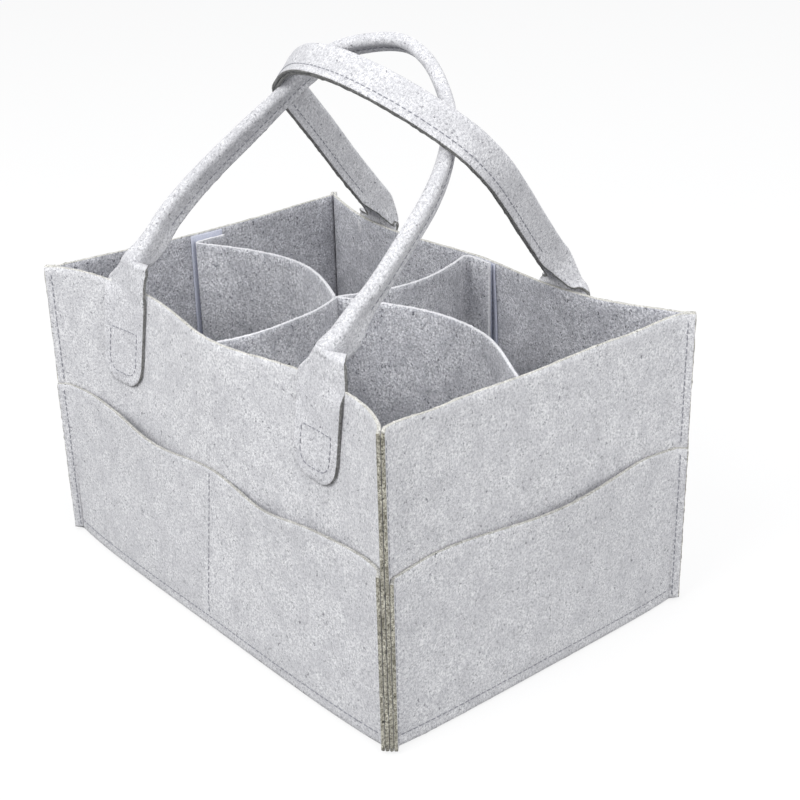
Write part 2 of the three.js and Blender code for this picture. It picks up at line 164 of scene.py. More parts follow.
def remapped(tree, value, low, high, bottom=0.0, top=1.0):
    node = tree.nodes.new("ShaderNodeMapRange")
    node.interpolation_type = "SMOOTHSTEP"
    set_inputs(node, {"From Min": low, "From Max": high, "To Min": bottom, "To Max": top})
    tree.links.new(value, node.inputs["Value"])
    return node.outputs["Result"]


def mixed(tree, factor, first, second):
    node = tree.nodes.new("ShaderNodeMix")
    node.data_type = "RGBA"
    tree.links.new(factor, node.inputs["Factor"])
    for name, value in (("A", first), ("B", second)):
        socket = next(s for s in node.inputs if s.name == name and s.type == "RGBA")
        if isinstance(value, tuple):
            socket.default_value = (*value, 1)
        else:
            tree.links.new(value, socket)
    return next(s for s in node.outputs if s.type == "RGBA")


def linear(colour):
    """A colour with channels from 0 to 255, as a shader takes it."""
    channel = lambda c: ((c / 255 + 0.055) / 1.055) ** 2.4 if c > 10 else c / 255 / 12.92
    return tuple(channel(c) for c in colour)


def felt_material(name, light, dark, fleck, flecked):
    """Pressed grey fibres: soft clouds, a fine grain, thin curling hairs and small dark flecks. flecked is
    how strongly the hairs and flecks show."""
    material, tree, surface, coordinates = new_shader(name)
    light, dark, fleck = linear(light), linear(dark), linear(fleck)
    grain = noise(tree, coordinates, scale=760, detail=4.0, roughness=0.72)
    base = mixed(tree, remapped(tree, grain, 0.36, 0.64), dark, light)
    cloud = noise(tree, coordinates, scale=75, detail=4.0, roughness=0.6)
    base = mixed(tree, remapped(tree, cloud, 0.36, 0.68, top=0.5), base, dark)
    for turn, amount in (((0.5, 0.2, 0.4), 0.42), ((0.3, 0.7, -0.5), 0.36)):
        hair = noise(
            tree, coordinates, scale=330, roughness=0.6, stretch=(1.0, 1.0, 0.45), turn=turn, distortion=2.2
        )
        near = remapped(tree, distance_to(tree, hair, 0.5), 0.0, 0.022, amount * flecked, 0.0)
        base = mixed(tree, near, base, fleck)
    spots = noise(tree, coordinates, scale=560, distortion=0.8)
    base = mixed(tree, remapped(tree, spots, 0.60, 0.76, top=0.75 * flecked), base, fleck)
    pale = noise(tree, coordinates, scale=1000)
    base = mixed(tree, remapped(tree, pale, 0.57, 0.72, top=0.45), base, light)
    tree.links.new(base, surface.inputs["Base Color"])
    set_inputs(surface, {"Roughness": 0.95, "Specular IOR Level": 0.12})
    set_inputs(surface, {"Sheen Weight": 0.2, "Sheen Roughness": 0.6})
    fuzz_height = noise(tree, coordinates, scale=1300, detail=4.0, roughness=0.75)
    fuzz = bump(tree, fuzz_height, strength=0.5, distance=0.0006)
    pad_height = noise(tree, coordinates, scale=210, detail=4.0, roughness=0.65)
    pads = bump(tree, pad_height, strength=0.35, distance=0.0012, under=fuzz)
    tree.links.new(pads, surface.inputs["Normal"])
    return material


def tape_material(name, light, dark, scale):
    material, tree, surface, coordinates = new_shader(name)
    loops = remapped(tree, noise(tree, coordinates, scale), 0.35, 0.7)
    tree.links.new(mixed(tree, loops, linear(light), linear(dark)), surface.inputs["Base Color"])
    set_inputs(surface, {"Roughness": 0.8, "Sheen Weight": 0.3})
    nap = bump(tree, noise(tree, coordinates, scale * 1.4), strength=0.5, distance=0.0005)
    tree.links.new(nap, surface.inputs["Normal"])
    return material


OUTSIDE = felt_material("felt_outside", (250, 250, 251), (198, 198, 202), (96, 96, 104), flecked=1.15)
# The same felt as the outside in a darker tone: painted shade for the inside of the bag. Its denser dark
# flecks are the felt's own grain.
SHADED_INSIDE = felt_material("felt_inside_painted_shade", (246, 246, 250), (166, 167, 174), (54, 55, 66), flecked=1.8)
STRAP = felt_material("felt_strap", (246, 246, 248), (196, 196, 200), (92, 92, 100), flecked=1.2)
# The same felt in a darker tone: painted shade for the divider, which stands in the shade inside the bag.
# Its denser dark flecks are the felt's own grain.
SHADED_DIVIDER = felt_material("felt_divider_painted_shade", (246, 246, 249), (168, 169, 176), (58, 59, 70), flecked=1.8)
MOUTH_EDGE = felt_material("felt_mouth_edge", (226, 225, 220), (164, 162, 156), (74, 73, 68), flecked=1.5)
TOP_EDGE = felt_material("felt_top_edge", (236, 235, 230), (192, 190, 182), (84, 82, 72), flecked=1.5)
FIN_EDGE = felt_material("felt_fin_edge", (232, 229, 214), (112, 108, 94), (24, 22, 16), flecked=2.2)
# Dark grey for the strap's cut edges: painted shade along the strap's edges and the sides of its tabs, much
# darker than the other cut edges of the same felt.
SHADED_STRAP_EDGE = felt_material("felt_strap_edge_painted_shade", (164, 164, 162), (100, 100, 98), (44, 44, 42), flecked=1.4)
CUT_EDGE = felt_material("felt_cut_edge", (240, 240, 242), (214, 214, 218), (150, 150, 156), flecked=0.7)
LOOP_TAPE = tape_material("loop_tape", (214, 217, 230), (190, 194, 212), scale=1500)
HOOK_TAPE = tape_material("hook_tape", (198, 202, 216), (168, 174, 194), scale=1900)
THREAD = tape_material("thread", (158, 159, 167), (120, 121, 131), scale=2500)


# Curves and numbers
def smoothstep(value, low, high):
    share = np.clip((np.asarray(value, float) - low) / (high - low), 0, 1)
    return share * share * (3 - 2 * share)


def lerp(a, b, share):
    return a + (b - a) * share


def eased(points, position):
    """A value that passes through (position, value) points with a smooth step between each two."""
    result = np.full(np.shape(position), float(points[0][1]))
    for (low, first), (high, second) in zip(points, points[1:]):
        result = result + (second - first) * smoothstep(position, low, high)
    return result


def wobble(a, b, seed, reach):
    """A smooth unevenness between about -1 and 1 over two coordinates in millimetres."""
    chooser = np.random.default_rng(seed)
    total = np.zeros(np.broadcast(a, b).shape)
    for _ in range(7):
        angle = chooser.uniform(0, 2 * math.pi)
        length = reach * chooser.uniform(0.7, 1.6)
        phase = chooser.uniform(0, 2 * math.pi)
        total += np.sin((a * math.cos(angle) + b * math.sin(angle)) * 2 * math.pi / length + phase)
    return total / 4


def unit(v):
    return v / np.linalg.norm(v, axis=-1, keepdims=True)


def travel(points):
    """How far along a line of points each of them lies."""
    return np.concatenate([[0], np.cumsum(np.linalg.norm(np.diff(points, axis=0), axis=1))])


def evenly(curve, step):
    lengths = travel(curve)
    at = np.linspace(0, lengths[-1], int(lengths[-1] / step) + 1)
    return np.stack([np.interp(at, lengths, curve[:, k]) for k in range(3)], 1), at


def softened(values, at, reach):
    """Values along a line, each averaged with its neighbours within about the reach."""
    weight = np.exp(-(((at[:, None] - at[None, :]) / reach) ** 2))
    return weight @ values / weight.sum(axis=1, keepdims=True)


def catmull_rom(points, per_span=24):
    """A centripetal curve through the points."""
    points = np.asarray(points, float)
    ends = [2 * points[0] - points[1], *points, 2 * points[-1] - points[-2]]
    curve = []
    for p0, p1, p2, p3 in zip(ends, ends[1:], ends[2:], ends[3:]):
        gaps = [np.linalg.norm(b - a) ** 0.5 for a, b in ((p0, p1), (p1, p2), (p2, p3))]
        k0, k1, k2, k3 = np.cumsum([0, *gaps])
        t = np.linspace(k1, k2, per_span, endpoint=False)[:, None]
        between = lambda p, q, low, high: (high - t) / (high - low) * p + (t - low) / (high - low) * q
        first, middle, last = between(p0, p1, k0, k1), between(p1, p2, k1, k2), between(p2, p3, k2, k3)
        curve.append(between(between(first, middle, k0, k2), between(middle, last, k1, k3), k1, k2))
    return np.concatenate([*curve, points[-1:]])


# Meshes
FACE, REAR, RIM, END = range(4)
# The raw rim's rings: the height of each as a share of the half thickness, and how far out it lies
RIM_PROFILE = ((0.62, 0.28), (0.0, 0.42), (-0.62, 0.28))
STITCH_SIDES = 6
# A stitch's places along its length, with its thickness and its lift at each, as shares of its radius
STITCH_PROFILE = ((0.0, 0.35, 0.1), (0.12, 0.9, 0.9), (0.5, 1.0, 0.9), (0.88, 0.9, 0.9), (1.0, 0.35, 0.1))


def new_object(name, vertices, faces, materials, slots):
    """A smooth mesh from points in millimetres."""
    mesh = bpy.data.meshes.new(name)
    mesh.from_pydata([tuple(v) for v in np.asarray(vertices) * MM], [], [tuple(f) for f in faces])
    for material in materials:
        mesh.materials.append(material)
    mesh.polygons.foreach_set("material_index", slots)
    mesh.polygons.foreach_set("use_smooth", [True] * len(faces))
    mesh.update()
    made = bpy.data.objects.new(name, mesh)
    bpy.context.scene.collection.objects.link(made)
    return made


def grid_normals(middle):
    return unit(np.cross(np.gradient(middle, axis=0), np.gradient(middle, axis=1)))


def grid_border(columns, rows):
    """The places of a grid's outermost points, once around."""
    return (
        [(i, 0) for i in range(columns)]
        + [(columns - 1, j) for j in range(1, rows)]
        + [(i, rows - 1) for i in range(columns - 2, -1, -1)]
        + [(0, j) for j in range(rows - 2, 0, -1)]
    )


def border_directions(middle, normal, border):
    """The way out of the sheet, along it, at each point of its border."""
    columns, rows = middle.shape[:2]
    directions = []
    for i, j in border:
        inner = middle[min(max(i, 1), columns - 2), min(max(j, 1), rows - 2)]
        step = middle[i, j] - inner
        step = step - normal[i, j] * step.dot(normal[i, j])
        directions.append(step / max(np.linalg.norm(step), 1e-6))
    return np.array(directions)


def felt_sheet(name, middle, thickness, face, rear, rim, seed, rough=0.18, ends=None):
    """A sheet of felt around a grid of points in millimetres, [column][row], with a soft rounded raw rim.
    face lies on the side that columns x rows points to. ends is the rim's material at the outer columns."""
    columns, rows = middle.shape[:2]
    normal = grid_normals(middle)
    half = thickness / 2
    border = grid_border(columns, rows)
    count = len(border)
    outward = border_directions(middle, normal, border)
    border_middle = np.array([middle[i, j] for i, j in border])
    border_normal = np.array([normal[i, j] for i, j in border])
    chooser = np.random.default_rng(seed)
    vertices = [(middle + normal * half).reshape(-1, 3), (middle - normal * half).reshape(-1, 3)]
    for level, out in RIM_PROFILE:
        jitter = chooser.normal(0, rough, (count, 1))
        vertices.append(border_middle + border_normal * (half * level) + outward * (out + jitter))
    index = np.arange(columns * rows).reshape(columns, rows)
    behind = columns * rows
    faces = []
    slots = []
    for i in range(columns - 1):
        for j in range(rows - 1):
            a, b, c, d = index[i, j], index[i + 1, j], index[i + 1, j + 1], index[i, j + 1]
            faces.append((a, b, c, d))
            slots.append(FACE)
            faces.append((a + behind, d + behind, c + behind, b + behind))
            slots.append(REAR)
    loops = [[index[i, j] for i, j in border]]
    for level in range(len(RIM_PROFILE)):
        loops.append([2 * behind + level * count + k for k in range(count)])
    loops.append([index[i, j] + behind for i, j in border])
    for upper, lower in zip(loops, loops[1:]):
        for k in range(count):
            n = (k + 1) % count
            faces.append((upper[n], upper[k], lower[k], lower[n]))
            at_end = border[k][0] == border[n][0] and border[k][0] in (0, columns - 1)
            slots.append(END if at_end else RIM)
    return new_object(name, np.concatenate(vertices), faces, [face, rear, rim, ends or rim], slots)


def stitch_row(name, points, normals, length=3.0, gap=1.0, radius=0.32, sink=0.1):
    """Thread in short stitches along a line of points, on the side that normals face."""
    points = np.asarray(points, float)
    normals = np.asarray(normals, float)
    travelled = travel(points)
    value_at = lambda s, values: np.array([np.interp(s, travelled, values[:, k]) for k in range(3)])
    vertices = []
    faces = []
    at = gap
    while at + length < travelled[-1]:
        direction = unit(value_at(at + length, points) - value_at(at, points))
        out = value_at(at + length / 2, normals)
        out = unit(out - direction * out.dot(direction))
        aside = np.cross(direction, out)
        base = len(vertices)
        for share, size, lift in STITCH_PROFILE:
            centre = value_at(at + length * share, points) + out * (radius * lift - sink)
            for k in range(STITCH_SIDES):
                angle = 2 * math.pi * k / STITCH_SIDES
                around = out * math.sin(angle) * 0.8 + aside * math.cos(angle)
                vertices.append(centre + around * radius * size)
        for r in range(len(STITCH_PROFILE) - 1):
            first = base + r * STITCH_SIDES
            second = first + STITCH_SIDES
            for k in range(STITCH_SIDES):
                n = (k + 1) % STITCH_SIDES
                faces.append((first + k, first + n, second + n, second + k))
        faces.append(tuple(base + k for k in reversed(range(STITCH_SIDES))))
        faces.append(tuple(len(vertices) - STITCH_SIDES + k for k in range(STITCH_SIDES)))
        at += length + gap
    return new_object(name, vertices, faces, [THREAD], [0] * len(faces))


def dress(piece, body, slot, *nodes):
    """Lets a piece ride on a body, in the place of any solids that it stands for. slot is not used."""
    if nodes:
        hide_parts(*nodes)
    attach(piece, body)


# Walls
# A fin's bend is an average over nearby places on the wall: how far off each lies, and its weight
FIN_BEND = ((-2.2, 0.12), (-1.1, 0.22), (0, 0.32), (1.1, 0.22), (2.2, 0.12))


class Wall:
    """One wall, in its own plan: x along it seen from outside, its outside at -y. turn sets it in the bag.
    It bows out by depth, more squarely for a higher power, and held is how far its middle is drawn back.
    Its foot has settled outwards by foot. Its pockets gape by mouth, further along for a higher lean.
    edge and pocket_edge are heights at shares of the way from its middle to its ends."""

    def __init__(
        self, name, along, across, turn, depth, power, held, foot, edge, pocket_edge, mouth, pockets, lean
    ):
        middle = LAYER_GAP / 2 + FELT / 2
        self.name = name
        self.root_x = along / 2 - DIAGONAL * (SEAM_ALLOWANCE + middle)
        self.root_y = across / 2 - DIAGONAL * (SEAM_ALLOWANCE - middle)
        self.turn = turn
        self.depth, self.power, self.held = depth, power, held
        self.foot = foot
        self.edge, self.pocket_edge = edge, pocket_edge
        self.mouth, self.pockets, self.lean = mouth, pockets, lean
        self.seed = 11 + turn * 7

    def share_at(self, x):
        """How far out from the wall's middle x lies, from 0 to 1."""
        return np.minimum(1, np.abs(x) / self.root_x)

    def growth(self, z):
        return np.maximum(0, (z - BOW_START) / (CORNER_HEIGHT - BOW_START)) ** BOW_GROWTH

    def foot_swell(self, x, z):
        """How far the foot has settled outwards under the felt's weight."""
        return self.foot * (1 - self.share_at(x) ** 5) * np.exp(-((z / FOOT_REACH) ** 2))

    def at(self, x, z, out=0.0):
        """A point beside the wall's middle surface, at a distance out from it."""
        share = self.share_at(x)
        hold = self.held * np.exp(-((x / HELD_REACH) ** 2))
        hold_slope = 2 * x * hold / HELD_REACH**2
        turned = self.depth * self.power * share ** (self.power - 1) * np.sign(x) / self.root_x
        y = -self.root_y + self.growth(z) * (self.depth * (1 - share**self.power) - hold)
        slope = self.growth(z) * (hold_slope - turned)
        size = np.sqrt(slope**2 + 1)
        uneven = UNEVENNESS * wobble(x, z, self.seed, UNEVEN_LENGTH)
        out = out + uneven * np.clip(z / UNEVEN_FROM, 0, 1) * (1 - share**6)
        out = out + self.foot_swell(x, z)
        return np.stack([x + slope / size * out, y - out / size, z + 0 * x], -1)

    def sharp_line(self, s, z, out):
        """The wall's plan at a distance s along it, and past its ends along the diagonal corner fins."""
        inside = np.clip(s, -self.root_x, self.root_x)
        on_wall = self.at(inside, z, out)
        past = np.maximum(0, np.abs(s) - self.root_x)
        root = self.at(inside, z, 0.0)
        outward = np.sign(s) * DIAGONAL * (past - out)
        fin = root + np.stack([outward, -DIAGONAL * (past + out), 0 * past], -1)
        return np.where((past > 0)[..., None], fin, on_wall)

    def sheet_line(self, s, z, out):
        """The same plan, softened at the bend where the wall turns into its fin."""
        total = 0
        for shift, weight in FIN_BEND:
            total = total + weight * self.sharp_line(s + shift, z, out)
        fin = np.clip(np.abs(s) - self.root_x - 3, 0, 1)[..., None]
        return lerp(total, self.sharp_line(s, z, out), fin)

    def pocket_out(self, s, z, top):
        share = np.clip((s / self.root_x + 1) / 2, 0, 1)
        along = np.sin(share**self.lean * HALF_TURN * self.pockets) ** 2
        return SEAT + self.mouth * along * (z / top) ** POCKET_GROWTH

    def in_bag(self, points):
        angle = self.turn * math.pi / 2
        c, s = round(math.cos(angle)), round(math.sin(angle))
        x, y, z = points[..., 0], points[..., 1], points[..., 2]
        return np.stack([c * x - s * y, s * x + c * y, z + 0 * x], -1)

    def top_at(self, x):
        return eased(self.edge, self.share_at(x))

    def pocket_top_at(self, x):
        return eased(self.pocket_edge, self.share_at(x))


LONG_WALL = {
    "along": BAG_LENGTH,
    "across": BAG_WIDTH,
    "edge": [(0, 180), (0.62, 183), (1, 186)],
    "pocket_edge": [(0, 103), (0.3, 100), (0.66, 106), (1, 107)],
    "mouth": 8,
    "pockets": 2,
    "lean": 1,
}
END_WALL = {
    "along": BAG_WIDTH,
    "across": BAG_LENGTH,
    "power": 2.4,
    "held": 0,
    "foot": 2,
    "pocket_edge": [(0, 101), (0.72, 105), (1, 103)],
    "pockets": 1,
}
RIGHT_EDGE = [(0, 180), (0.6, 182), (1, 186)]
LEFT_EDGE = [(0, 184.5), (1, 186)]
FRONT = Wall("front", turn=0, depth=22, power=4.5, held=11, foot=3.5, **LONG_WALL)
RIGHT = Wall("right_end", turn=1, depth=9, edge=RIGHT_EDGE, mouth=7.5, lean=1.3, **END_WALL)
BACK = Wall("back", turn=2, depth=19, power=3.2, held=14, foot=3, **LONG_WALL)
LEFT = Wall("left_end", turn=3, depth=3, edge=LEFT_EDGE, mouth=5.7, lean=1, **END_WALL)
WALLS = (FRONT, RIGHT, BACK, LEFT)
WALL_COLUMNS = 84
FIN_COLUMNS = np.array([1.5, 3.0, 4.5, 6.0, SEAM_ALLOWANCE])
WALL_ROWS = np.concatenate([[0.0, 0.02, 0.045, 0.075], np.linspace(0.11, 1, 40)])
FIN_CHAMFER = 1.2
SEAM_DIP = 0.175
SEAM_DIP_REACH = 2.2


def wall_grid(wall, top_at, out_at):
    """Columns along the wall and rows up it. The top and the distance out may vary along the wall."""
    share = np.linspace(-1, 1, WALL_COLUMNS)
    inner = wall.root_x * (share + np.sin(share * math.pi / 2)) / 2
    fin = wall.root_x + FIN_COLUMNS
    s = np.concatenate([-fin[::-1], inner, fin])
    top = top_at(s)[:, None]
    z = lerp(FOOT_LIFT, top, WALL_ROWS[None, :])
    across = np.repeat(s[:, None], len(WALL_ROWS), 1)
    chamfer = np.clip((np.abs(across) - wall.root_x) / SEAM_ALLOWANCE, 0, 1) * FIN_CHAMFER
    z = z + chamfer * (1 - WALL_ROWS[None, :])
    return wall.in_bag(wall.sheet_line(across, z, out_at(across, z, top)))


def seam_dip(z):
    """How far the felt is drawn in where the foot is stitched."""
    return SEAM_DIP * np.exp(-(((z - BASE_RISE) / SEAM_DIP_REACH) ** 2))


def dress_wall(wall):
    flush = lambda s, z, top: 0 * z
    gaping = lambda s, z, top: wall.pocket_out(s, z, top) - seam_dip(z)
    layers = (
        ("wall", wall.top_at, flush, TOP_EDGE, wall.seed, "body_felt", "panel"),
        ("pocket", wall.pocket_top_at, gaping, MOUTH_EDGE, wall.seed + 3, "pocket_felt", "pocket"),
    )
    for layer, top_at, out_at, rim, seed, slot, node in layers:
        grid = wall_grid(wall, top_at, out_at)
        name = f"{wall.name}_{layer}_felt"
        # The rear of each wall and pocket takes the darker inside felt: painted shade for the inside of the
        # bag and between pocket and wall.
        felt = felt_sheet(name, grid, FELT, OUTSIDE, SHADED_INSIDE, rim, seed, ends=FIN_EDGE)
        dress(felt, "bag", slot, f"{wall.name}_{node}")


for wall in WALLS:
    dress_wall(wall)


# Base, a tray turned upside down inside the foot of the walls
CORNER_STEPS = 7
SIDE_STEPS = 18
BASE_CORNER = 3
LEAST_CORNER = 0.6
BASE_UNEVENNESS = 0.15
BASE_SETTLED = 12
BASE_BEND = 2.5
BEND_STEPS = 5
BASE_INSET = 3.5
TRAY_SHARES = (0.02, 0.4, 0.75, 0.93)
# How far inward the tray's turned-down rim lies and how high: its raw edge, then its inner face
RAW_EDGE = ((0, 3.5), (0.1, 0.3), (1.0, 0.0), (1.9, 0.3))
INNER_FACE = ((2.0, 4.0), (2.3, BASE_RISE - 0.6), (3.2, BASE_RISE))


def rounded_outline(half_x, half_y, radius):
    corner = lambda sx, sy, angle: (
        sx * (half_x - radius) + radius * math.cos(angle),
        sy * (half_y - radius) + radius * math.sin(angle),
    )
    corners = ((1, -1, -90), (1, 1, 0), (-1, 1, 90), (-1, -1, 180))
    outline = []
    for (sx, sy, start), (next_x, next_y, _) in zip(corners, (*corners[1:], corners[0])):
        for k in range(CORNER_STEPS):
            outline.append(corner(sx, sy, math.radians(start + 90 * k / (CORNER_STEPS - 1))))
        first = outline[-1]
        last = corner(next_x, next_y, math.radians(start + 90))
        for share in np.linspace(0, 1, SIDE_STEPS)[1:-1]:
            outline.append((lerp(first[0], last[0], share), lerp(first[1], last[1], share)))
    return np.array(outline)


def base_rings():
    """The tray from the middle of its top to the middle of its underside: how much each ring shrinks toward
    the middle, how far inward of the outside it lies, and its height."""
    rings = [(1 - share, 0, BASE_TOP) for share in TRAY_SHARES]
    for k in range(BEND_STEPS):
        angle = math.radians(90 * k / (BEND_STEPS - 1))
        rings.append((0, BASE_BEND * (1 - math.sin(angle)), BASE_TOP - BASE_BEND * (1 - math.cos(angle))))
    rings += [(0, inward, z) for inward, z in (*RAW_EDGE, *INNER_FACE)]
    rings += [(1 - share, BASE_INSET, BASE_RISE) for share in reversed(TRAY_SHARES)]
    return rings


def base_tray():
    inset = FELT / 2 + LAYER_GAP
    half_x = RIGHT.root_y - inset
    half_y = FRONT.root_y - inset
    settled = lambda along, half: np.clip((np.abs(along) - half + BASE_SETTLED) / BASE_SETTLED, 0, 1)
    rings = base_rings()
    vertices = []
    for shrink, inward, z in rings:
        outline = rounded_outline(half_x - inward, half_y - inward, max(LEAST_CORNER, BASE_CORNER - inward))
        count = len(outline)
        swell_x = RIGHT.foot_swell(outline[:, 1] * RIGHT.root_x / half_y, np.full(count, z))
        swell_y = FRONT.foot_swell(outline[:, 0] * FRONT.root_x / half_x, np.full(count, z))
        near_x = settled(outline[:, 0], half_x)
        near_y = settled(outline[:, 1], half_y)
        outline = outline * (1 - shrink)
        x = outline[:, 0] + np.sign(outline[:, 0]) * swell_x * near_x * (1 - shrink)
        y = outline[:, 1] + np.sign(outline[:, 1]) * swell_y * near_y * (1 - shrink)
        for px, py in zip(x, y):
            wave = BASE_UNEVENNESS * math.sin(px / 19) * math.cos(py / 23)
            vertices.append((px, py, z + wave * (z > BASE_RISE - 1)))
    raw_start = len(TRAY_SHARES) + BEND_STEPS
    faces = []
    slots = []
    for r in range(len(rings) - 1):
        for k in range(count):
            n = (k + 1) % count
            faces.append((r * count + k, (r + 1) * count + k, (r + 1) * count + n, r * count + n))
            slots.append(1 if raw_start <= r < raw_start + len(RAW_EDGE) else 0)
    last = (len(rings) - 1) * count
    faces += [tuple(range(count)), tuple(reversed(range(last, last + count)))]
    slots += [0, 0]
    # The base's top takes the darker inside felt: painted shade for the floor of the bag.
    return new_object("base_felt", vertices, faces, [SHADED_INSIDE, MOUTH_EDGE], slots)


dress(base_tray(), "bag", "body_felt", "base_panel")


# Handle straps
FOLD_STEPS = 80
FOLDED_TOUCH = 1.12
LEAST_TURN = math.radians(80)
MOST_TURN = math.radians(125)
STRIP_COLUMNS = 45
ROW_STEP = 0.8
FINE_REACH = 22
CROWDING = 1.25
TAB_ROWS = 23
# Stretches past the crease over which the strip turns from the wall's plane to the arch's, twists, draws
# its deep half in and rises to its spine, and the share of the arch over which the twist comes in
FACE_TURN = (-4, 10)
SIDE_TURN = (-2, 10)
TWIST = (16, 44)
TWIST_SHARE = (0.45, 0.65)
DEEP_HALF = (0, 26)
SPINE_RISE = (2, 24)
SEAM_PAST_FOLD = 4
LAST_SEATED = 14


def turned_half(s, most, half, zone, start=0.0):
    """How far aside and how far behind the fold each point of a half strip lies, when it turns by most over
    the zone that begins at start. Past the seam it goes on straight back."""
    angle = most * smoothstep(s, start, start + zone)
    seam = half - SEAM_INSET
    angle = lerp(angle, angle.clip(max=HALF_TURN / 2), smoothstep(s, seam - 1.5, seam + 0.5))
    middle = (angle[1:] + angle[:-1]) / 2
    step = s[1] - s[0]
    aside = np.concatenate([[0], np.cumsum(np.cos(middle) * step)])
    behind = np.concatenate([[0], np.cumsum(np.sin(middle) * step)])
    return aside, behind


def half_fold(half, zone, start=0.0):
    """The cross-section of one half of the strip when it is folded back, turned so far that the two halves
    just touch at their seam."""
    s = np.linspace(0, half, FOLD_STEPS)
    low, high = LEAST_TURN, MOST_TURN
    for _ in range(24):
        most = (low + high) / 2
        aside = turned_half(s, most, half, zone)[0]
        at_seam = np.interp(half - SEAM_INSET, s, aside)
        low, high = (most, high) if at_seam > FOLDED_TOUCH else (low, most)
    return (s, *turned_half(s, most, half, zone, start))


def on_long_wall(wall, side, x, z, out):
    """A point on a long wall, with x along the bag. side is -1 for the front wall and 1 for the back."""
    x = np.asarray(x, float)
    return wall.in_bag(wall.at(-side * x, np.asarray(z, float) + 0 * x, out))


def arch_points(strap, side):
    """The arch's route in its leaning plane, from crease to crease, and the way that the plane faces."""
    left_x, right_x = strap["creases"]
    lean = lambda share: math.radians(lerp(*strap["lean"], share))
    reach_at = lambda share: np.array([0, -side * math.sin(lean(share)), math.cos(lean(share))])
    points = []
    for x, reach in ((left_x, 0), *strap["route"], (right_x, 0)):
        share = min(1, max(0, (x - left_x) / (right_x - left_x)))
        foot = np.array([x, side * strap["crease_out"], strap["crease_height"]])
        points.append(foot + reach_at(share) * reach)
    return points, -side * np.cross([1, 0, 0], reach_at(0.5))


def tab_rise(strap, side, which):
    """Points from a tab, up past the wall's rim, to just below the crease."""
    x, crease_x = strap["tabs"][which], strap["creases"][which]
    high = strap["crease_height"]
    low = high - strap["free"]
    points = [on_long_wall(strap["wall"], side, x, z, SEAT) for z in (low - LAST_SEATED, low)]
    for share in (0.4, 0.75):
        ease = share * share * (3 - 2 * share)
        y = lerp(points[1][1], side * strap["crease_out"], ease)
        points.append(np.array([lerp(x, crease_x, ease), y, lerp(low, high, share)]))
    return points


def strap_line(strap, side):
    """The strip's middle line, finer near the creases: its points, its directions, how far past the nearer
    crease each point lies, its share of the arch, and the way that the arch's plane faces."""
    arch, plane_out = arch_points(strap, side)
    rises = [tab_rise(strap, side, which) for which in (0, 1)]
    line, at = evenly(catmull_rom([*rises[0], *arch, *rises[1][::-1]]), ROW_STEP)
    tangent = unit(softened(unit(np.gradient(line, axis=0)), at, strap["bend"]))
    left, right = (at[np.linalg.norm(line - end, axis=1).argmin()] for end in (arch[0], arch[-1]))
    near = np.minimum(np.abs(at - left), np.abs(at - right)) < FINE_REACH
    kept = [k for k in range(len(at)) if k % 3 == 0 or near[k]]
    from_left = at[kept] - left
    past = np.minimum(from_left, right - at[kept])
    share = np.clip(from_left / (right - left), 0, 1)
    return line[kept], tangent[kept], past, share, plane_out


def strap_row(strap, side, u, point, tangent, past, share, plane_out):
    """One row of points across the strip, at places u. past is how far past the crease the row lies, below
    zero on the tab's side."""
    which, direction = (0, 1) if share < 0.5 else (1, -1)
    facing = np.array([0.0, side, 0.0])
    out = lerp(facing, plane_out, smoothstep(past, *FACE_TURN))
    out = unit(out - tangent * out.dot(tangent))
    aside = -side * np.cross(tangent, out)
    aside = unit(lerp(np.array([direction, 0, 0]), aside, smoothstep(past, *SIDE_TURN)))
    whole = smoothstep(past, *strap["fold_over"])
    back = strap["set_back"] * whole
    centre = point - out * back
    turn = math.radians(strap["turn"]) * smoothstep(past, *TWIST) * smoothstep(share, *TWIST_SHARE)
    out, aside = (
        out * math.cos(turn) + aside * -math.sin(turn),
        aside * math.cos(turn) + out * math.sin(turn),
    )
    half = lerp(HALF_STRIP, eased(strap["halves"], past), whole)
    slant, deep = strap["ears"][which]
    deep = lerp(deep, half, smoothstep(past, *DEEP_HALF))
    first, last = strap["crease"]
    fold_line = np.interp(past, *zip(*strap["fold_lines"][which]))
    row = np.zeros((len(u), 3))
    for sign in (-1, 1):
        mask = u * sign >= 0
        share_out = np.abs(u[mask]) / HALF_STRIP
        faces_right = sign == direction
        if faces_right == (side < 0):
            s, across, behind = half_fold(deep, strap["zone"])
            folded = np.clip((past - first - slant * (share_out - 0.5)) / (last - first), 0, 1)
            a = lerp(share_out * HALF_STRIP, np.interp(share_out * deep, s, across), folded)[:, None]
            b = (np.interp(share_out * deep, s, behind) * folded)[:, None]
        else:
            s, across, behind = half_fold(half, strap["zone"], fold_line)
            a = np.interp(share_out * half, s, across)[:, None]
            b = np.interp(share_out * half, s, behind)[:, None]
        row[mask] = centre + out * back - out * b + aside * sign * a
    row += out * strap["spine"] * smoothstep(past, *SPINE_RISE)
    if past < 0:
        x = strap["tabs"][which] + direction * u
        seated = on_long_wall(strap["wall"], side, x, point[2], SEAT)
        row = lerp(seated, row, smoothstep(past, *strap["leaving"]))
    return row


def tab_rows(strap, side, u, which, above):
    """A tab's rows, from its rounded foot up to the row above it."""
    direction = (1, -1)[which]
    x = strap["tabs"][which] + direction * u
    over = np.maximum(0, np.abs(u) - (HALF_STRIP - TAB_ROUNDING))
    foot_z = strap["bottoms"][which] + TAB_ROUNDING - np.sqrt(TAB_ROUNDING**2 - over**2)
    rows = []
    for share in np.linspace(0, 1, TAB_ROWS + 1)[:-1]:
        rows.append(on_long_wall(strap["wall"], side, x, lerp(foot_z, above[:, 2], share), SEAT))
    return np.array(rows)


